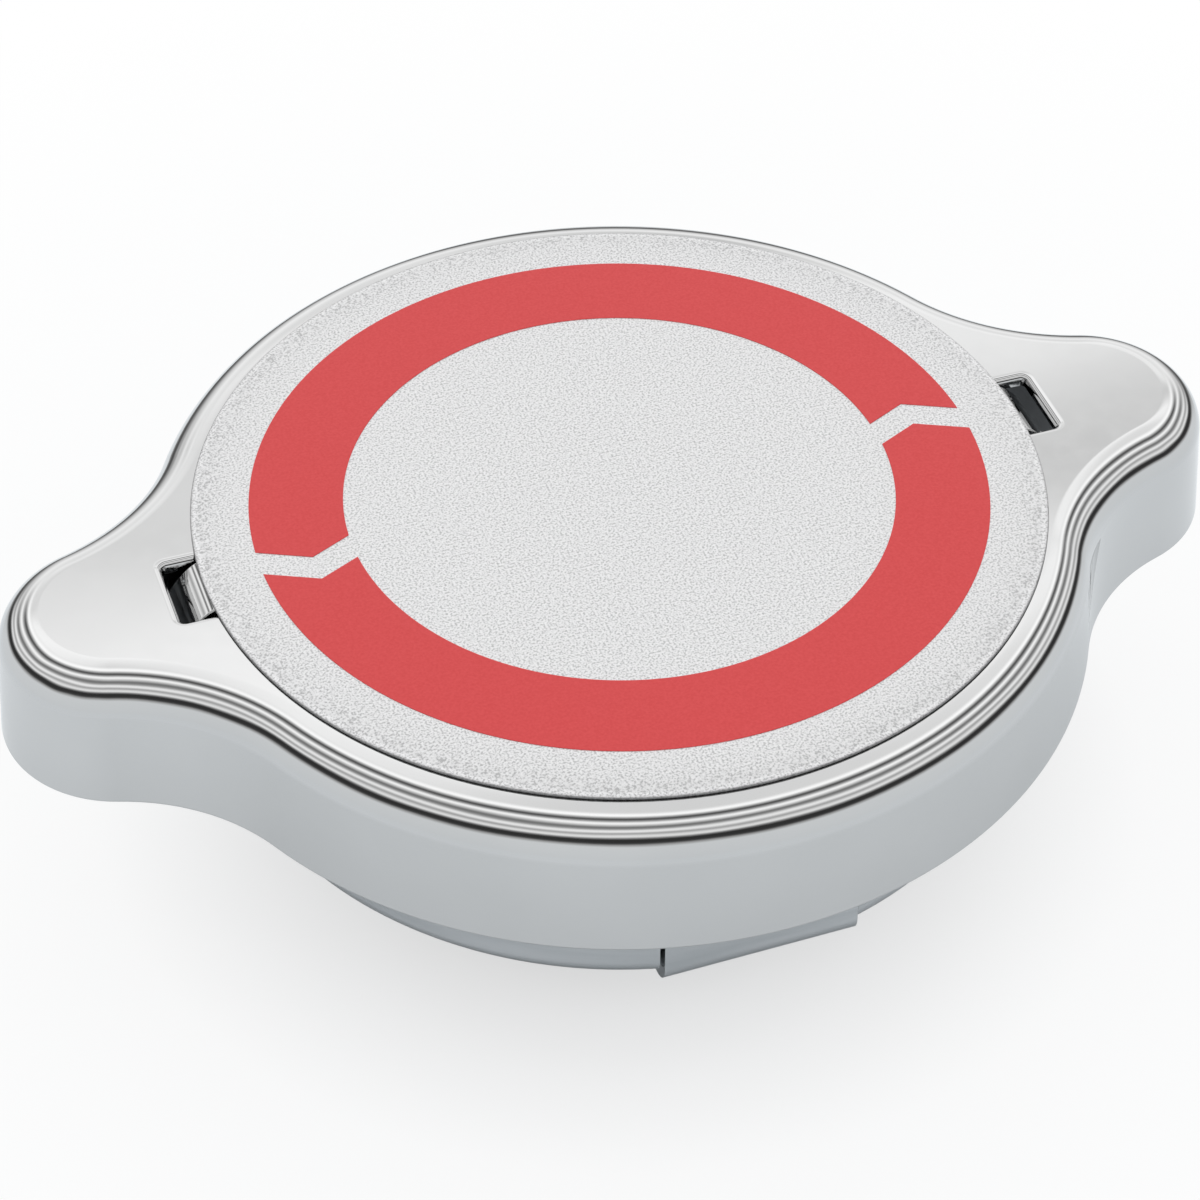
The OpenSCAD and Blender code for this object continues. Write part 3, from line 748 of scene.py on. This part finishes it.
# Camera: turned round the axis, raised, and aimed a little below the label's centre
VIEW_AZIMUTH = math.radians(-19.3)
VIEW_ELEVATION = math.radians(40.902)
VIEW_DISTANCE = 0.24606
VIEW_YAW = math.radians(-0.297)
VIEW_PITCH = math.radians(1.776)
VIEW_ROLL = math.radians(-0.414)
LENS_MM = 107.43
SENSOR_MM = 36
CLIP_START = 0.01
TURN = Matrix.Rotation(VIEW_AZIMUTH, 3, "Z")
TO_FRONT = Vector((0, -math.cos(VIEW_ELEVATION), math.sin(VIEW_ELEVATION)))


def camera():
    right = Vector((1, 0, 0))
    aim = Matrix.Rotation(VIEW_ROLL, 3, "Z") @ Matrix.Rotation(VIEW_PITCH, 3, "X")
    aim = aim @ Matrix.Rotation(VIEW_YAW, 3, "Y") @ Matrix((right, TO_FRONT.cross(right), TO_FRONT))
    data = bpy.data.cameras.new("camera")
    data.lens = LENS_MM
    data.sensor_width = SENSOR_MM
    data.clip_start = CLIP_START
    made = add_object("camera", data)
    made.matrix_world = (TURN @ aim.transposed()).to_4x4()
    made.location = TURN @ TO_FRONT * VIEW_DISTANCE + Vector((0, 0, DISC_TOP * MM))
    bpy.context.scene.camera = made


# Studio: a pale room with a dark band above its front and low behind, thin dark strips over the front,
# and a ceiling that is brighter in some directions of the compass than in others.
# A place in the room is named by the tilt of the mirror that would show it to someone at the front:
# 0 is the dark band, 1 a level mirror. The band's tilt, in degrees, depends on where that mirror faces,
# from -1 at the front to 1 at the back. The ceiling's stops are degrees round the compass.
RIGHT_ANGLE = 90
FULL_TURN = 360
BAND_TILT = [
    (-1, 36), (-0.7, 36), (-0.34, 39), (0, 42), (0.17, 44), (0.34, 47), (0.5, 49.5), (0.64, 52.5),
    (0.77, 57), (0.89, 63), (1, 68),
]
FRONT_ROOM = [
    (-1, (0.95, 0.99, 1.02)), (-0.45, (0.95, 0.985, 1.01)), (-0.13, (1.0, 1.03, 1.05)),
    (-0.085, 0.55), (-0.05, 0.1), (-0.02, 0.05), (0.03, 0.05), (0.058, 0.31), (0.095, 1.32),
    (0.114, 1.24), (0.155, 0.62), (0.175, 0.75), (0.206, 1.42), (0.23, 1.38), (0.27, 0.55),
    (0.3, 0.3), (0.32, 0.33), (0.355, 0.9), (0.392, 1.6), (0.41, 1.53), (0.447, 0.59),
    (0.482, 0.15), (0.503, 0.16), (0.54, 0.78), (0.577, 1.68), (0.6, 1.74), (0.635, 1.55),
    (0.67, 1.27), (0.71, 1.12), (0.85, 1.17), (1, 1.25),
]
BACK_ROOM = [
    (-1, (0.86, 0.9, 0.93)), (-0.5, (0.88, 0.92, 0.94)), (-0.25, 0.69), (-0.1, 0.25), (0, 0.12),
    (0.1, 0.3), (0.25, 0.95), (0.45, 1.45), (0.6, 1.32), (0.75, 1.2), (1, 1.25),
]
CEILING = [
    (-180, 1.2), (-176, 1.21), (-172, 1.17), (-168, 1.35), (-164, 1.56), (-156, 1.6), (-135, 1.52),
    (-118, 1.42), (-104, 1.22), (-97, 1.15), (-49.8, 1.18), (-27.1, 1.3), (-16.8, 1.53),
    (-10.3, 1.58), (-5.2, 1.3), (-1.7, 1.1), (2, 1.02), (5, 1.15), (8, 1.39), (12, 1.45),
    (27.1, 1.5), (36.7, 1.55), (49.8, 1.22), (67.7, 0.97), (94.6, 1.1), (130.2, 1.29),
    (152.9, 1.22), (165, 1.45), (173.5, 1.32), (180, 1.2),
]
BACK_BLEND = (-0.3, 0.3)
CEILING_BLEND = (0.6, 0.7)
SWAY = 0.09
SWAY_SCALE = 3.0
SWAY_DETAIL = 1.0


def halves(stops):
    """Stops that run from -1 to 1, as the places 0 to 1 of a ramp."""
    return [(place / 2 + 0.5, value) for place, value in stops]


def studio():
    world = bpy.data.worlds.new("studio")
    bpy.context.scene.world = world
    world.use_nodes = True
    room = Nodes(world.node_tree)
    back = TURN @ Vector((0, 1, 0))
    right = TURN @ Vector((1, 0, 0))
    away = room.node("ShaderNodeTexCoord").outputs["Generated"]
    mirror = room.vector("NORMALIZE", room.vector("ADD", away, TURN @ TO_FRONT))
    tilt = room.math("ARCSINE", room.along(mirror, UP))
    facing = room.math("DIVIDE", room.along(mirror, back), room.math("COSINE", tilt))
    band_stops = halves([(place, degrees / RIGHT_ANGLE) for place, degrees in BAND_TILT])
    band = room.ramp(room.halved(facing), band_stops)
    above = room.math("SUBTRACT", room.math("DIVIDE", tilt, math.pi / 2), band)
    height = room.math("DIVIDE", above, room.math("SUBTRACT", 1.0, band))
    sway = room.node("ShaderNodeTexNoise", Scale=SWAY_SCALE, Detail=SWAY_DETAIL)
    room.link(mirror, sway.inputs["Vector"])
    swayed = room.math("MULTIPLY_ADD", sway.outputs["Fac"], SWAY, -SWAY / 2)
    height = room.math("ADD", height, swayed)
    place = room.halved(height)
    front_walls = room.ramp(place, halves(FRONT_ROOM))
    back_walls = room.ramp(place, halves(BACK_ROOM))
    walls = room.mix(room.smooth(facing, *BACK_BLEND), front_walls, back_walls)
    compass = room.math("ARCTAN2", room.along(mirror, back), room.along(mirror, right))
    ceiling_stops = [(degrees / FULL_TURN + 0.5, value) for degrees, value in CEILING]
    ceiling = room.ramp(room.math("MULTIPLY_ADD", compass, 0.5 / math.pi, 0.5), ceiling_stops)
    lamp = room.tree.nodes["Background"]
    lit = room.mix(room.smooth(height, *CEILING_BLEND), walls, ceiling)
    room.link(lit, lamp.inputs["Color"])
    white = room.node("ShaderNodeBackground", Color=(1, 1, 1, 1))
    path = room.node("ShaderNodeLightPath")
    seen = room.blend(path.outputs["Is Camera Ray"], lamp.outputs[0], white.outputs[0])
    room.link(seen, room.tree.nodes["World Output"].inputs["Surface"])


# Floor, in metres, and the share of plain light in it, from its centre to its rim,
# as the eye and as metal see it
FLOOR_R = 0.11
FLOOR_Z = -0.00002
FLOOR_COLOUR = (0.84, 0.88, 0.905)
FLOOR_ROUGHNESS = 0.8
FLOOR_WHITE = [(0.1, 0.5), (0.35, 0.88), (0.7, 0.94), (1.0, 1.0)]
FLOOR_SHEEN = [(0.25, 0.0), (0.42, 0.35), (0.5, 0.56), (0.55, 0.72), (0.6, 0.88), (0.68, 1.0)]
FLOOR_TINT = (0.96, 1.0, 1.03)


def floor():
    """A round pale floor that fades into the white of the room at its rim; it shows from above alone."""
    mesh = bpy.data.meshes.new("floor")
    ring = [(*(FLOOR_R * way), FLOOR_Z) for way in circle(1.0, FLOOR_STEPS)]
    mesh.from_pydata(ring, [], [range(len(ring))])
    made = add_object("floor", mesh)
    material = bpy.data.materials.new("floor")
    material.use_nodes = True
    sheet = Nodes(material.node_tree)
    shader = sheet.tree.nodes["Principled BSDF"]
    shader.inputs["Base Color"].default_value = (*FLOOR_COLOUR, 1)
    shader.inputs["Roughness"].default_value = FLOOR_ROUGHNESS
    place = sheet.node("ShaderNodeTexCoord").outputs["Object"]
    out = sheet.math("DIVIDE", sheet.measure("LENGTH", place), FLOOR_R)
    path = sheet.node("ShaderNodeLightPath")
    eye = sheet.math("MULTIPLY", path.outputs["Is Camera Ray"], sheet.ramp(out, FLOOR_WHITE))
    metal = sheet.math("MULTIPLY", path.outputs["Is Glossy Ray"], sheet.ramp(out, FLOOR_SHEEN))
    white = sheet.node("ShaderNodeEmission", Color=(1, 1, 1, 1))
    sheen = sheet.node("ShaderNodeEmission", Color=(*FLOOR_TINT, 1))
    shown = sheet.blend(metal, shader.outputs[0], sheen.outputs[0])
    shown = sheet.blend(eye, shown, white.outputs[0])
    clear = sheet.node("ShaderNodeBsdfTransparent")
    under = sheet.node("ShaderNodeNewGeometry").outputs["Backfacing"]
    shown = sheet.blend(under, shown, clear.outputs[0])
    sheet.link(shown, sheet.tree.nodes["Material Output"].inputs["Surface"])
    mesh.materials.append(material)


def dress():
    """Gives each CAD node its material, and replaces those that need finer form."""
    paints = {
        "chrome": chrome(),
        "label_metal": label_metal(),
        "red_enamel": red_enamel(),
        "plated_steel": plated_steel(),
        "spring_steel": spring_steel(),
        "black_rubber": black_rubber(),
        "brass": brass(),
    }
    for part in frame["record"]["subparts"]:
        made = frame["nodes"][part["node"]]
        if not made.material_slots:
            made.data.materials.append(None)
        for place in made.material_slots:
            place.material = paints[part["material_slot"]]
    # Rougher chrome for the cap's inside, darkened as painted shade
    dull_and_shaded = dull_shaded_chrome()
    outer_shell(paints["chrome"], dull_and_shaded)
    ring_flange(dull_and_shaded)
    label_disc(paints["label_metal"])
    label_print(paints["red_enamel"])
    spring = coil("pressure_coil", PRESSURE_COIL, paints["spring_steel"], "valve_cage", "pressure_spring")
    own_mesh(spring)
    spring = coil("vacuum_coil", VACUUM_COIL, paints["spring_steel"], "pressure_valve", "vacuum_spring")
    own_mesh(spring)


dress()
camera()
studio()
floor()
bpy.context.scene.view_settings.view_transform = "Standard"
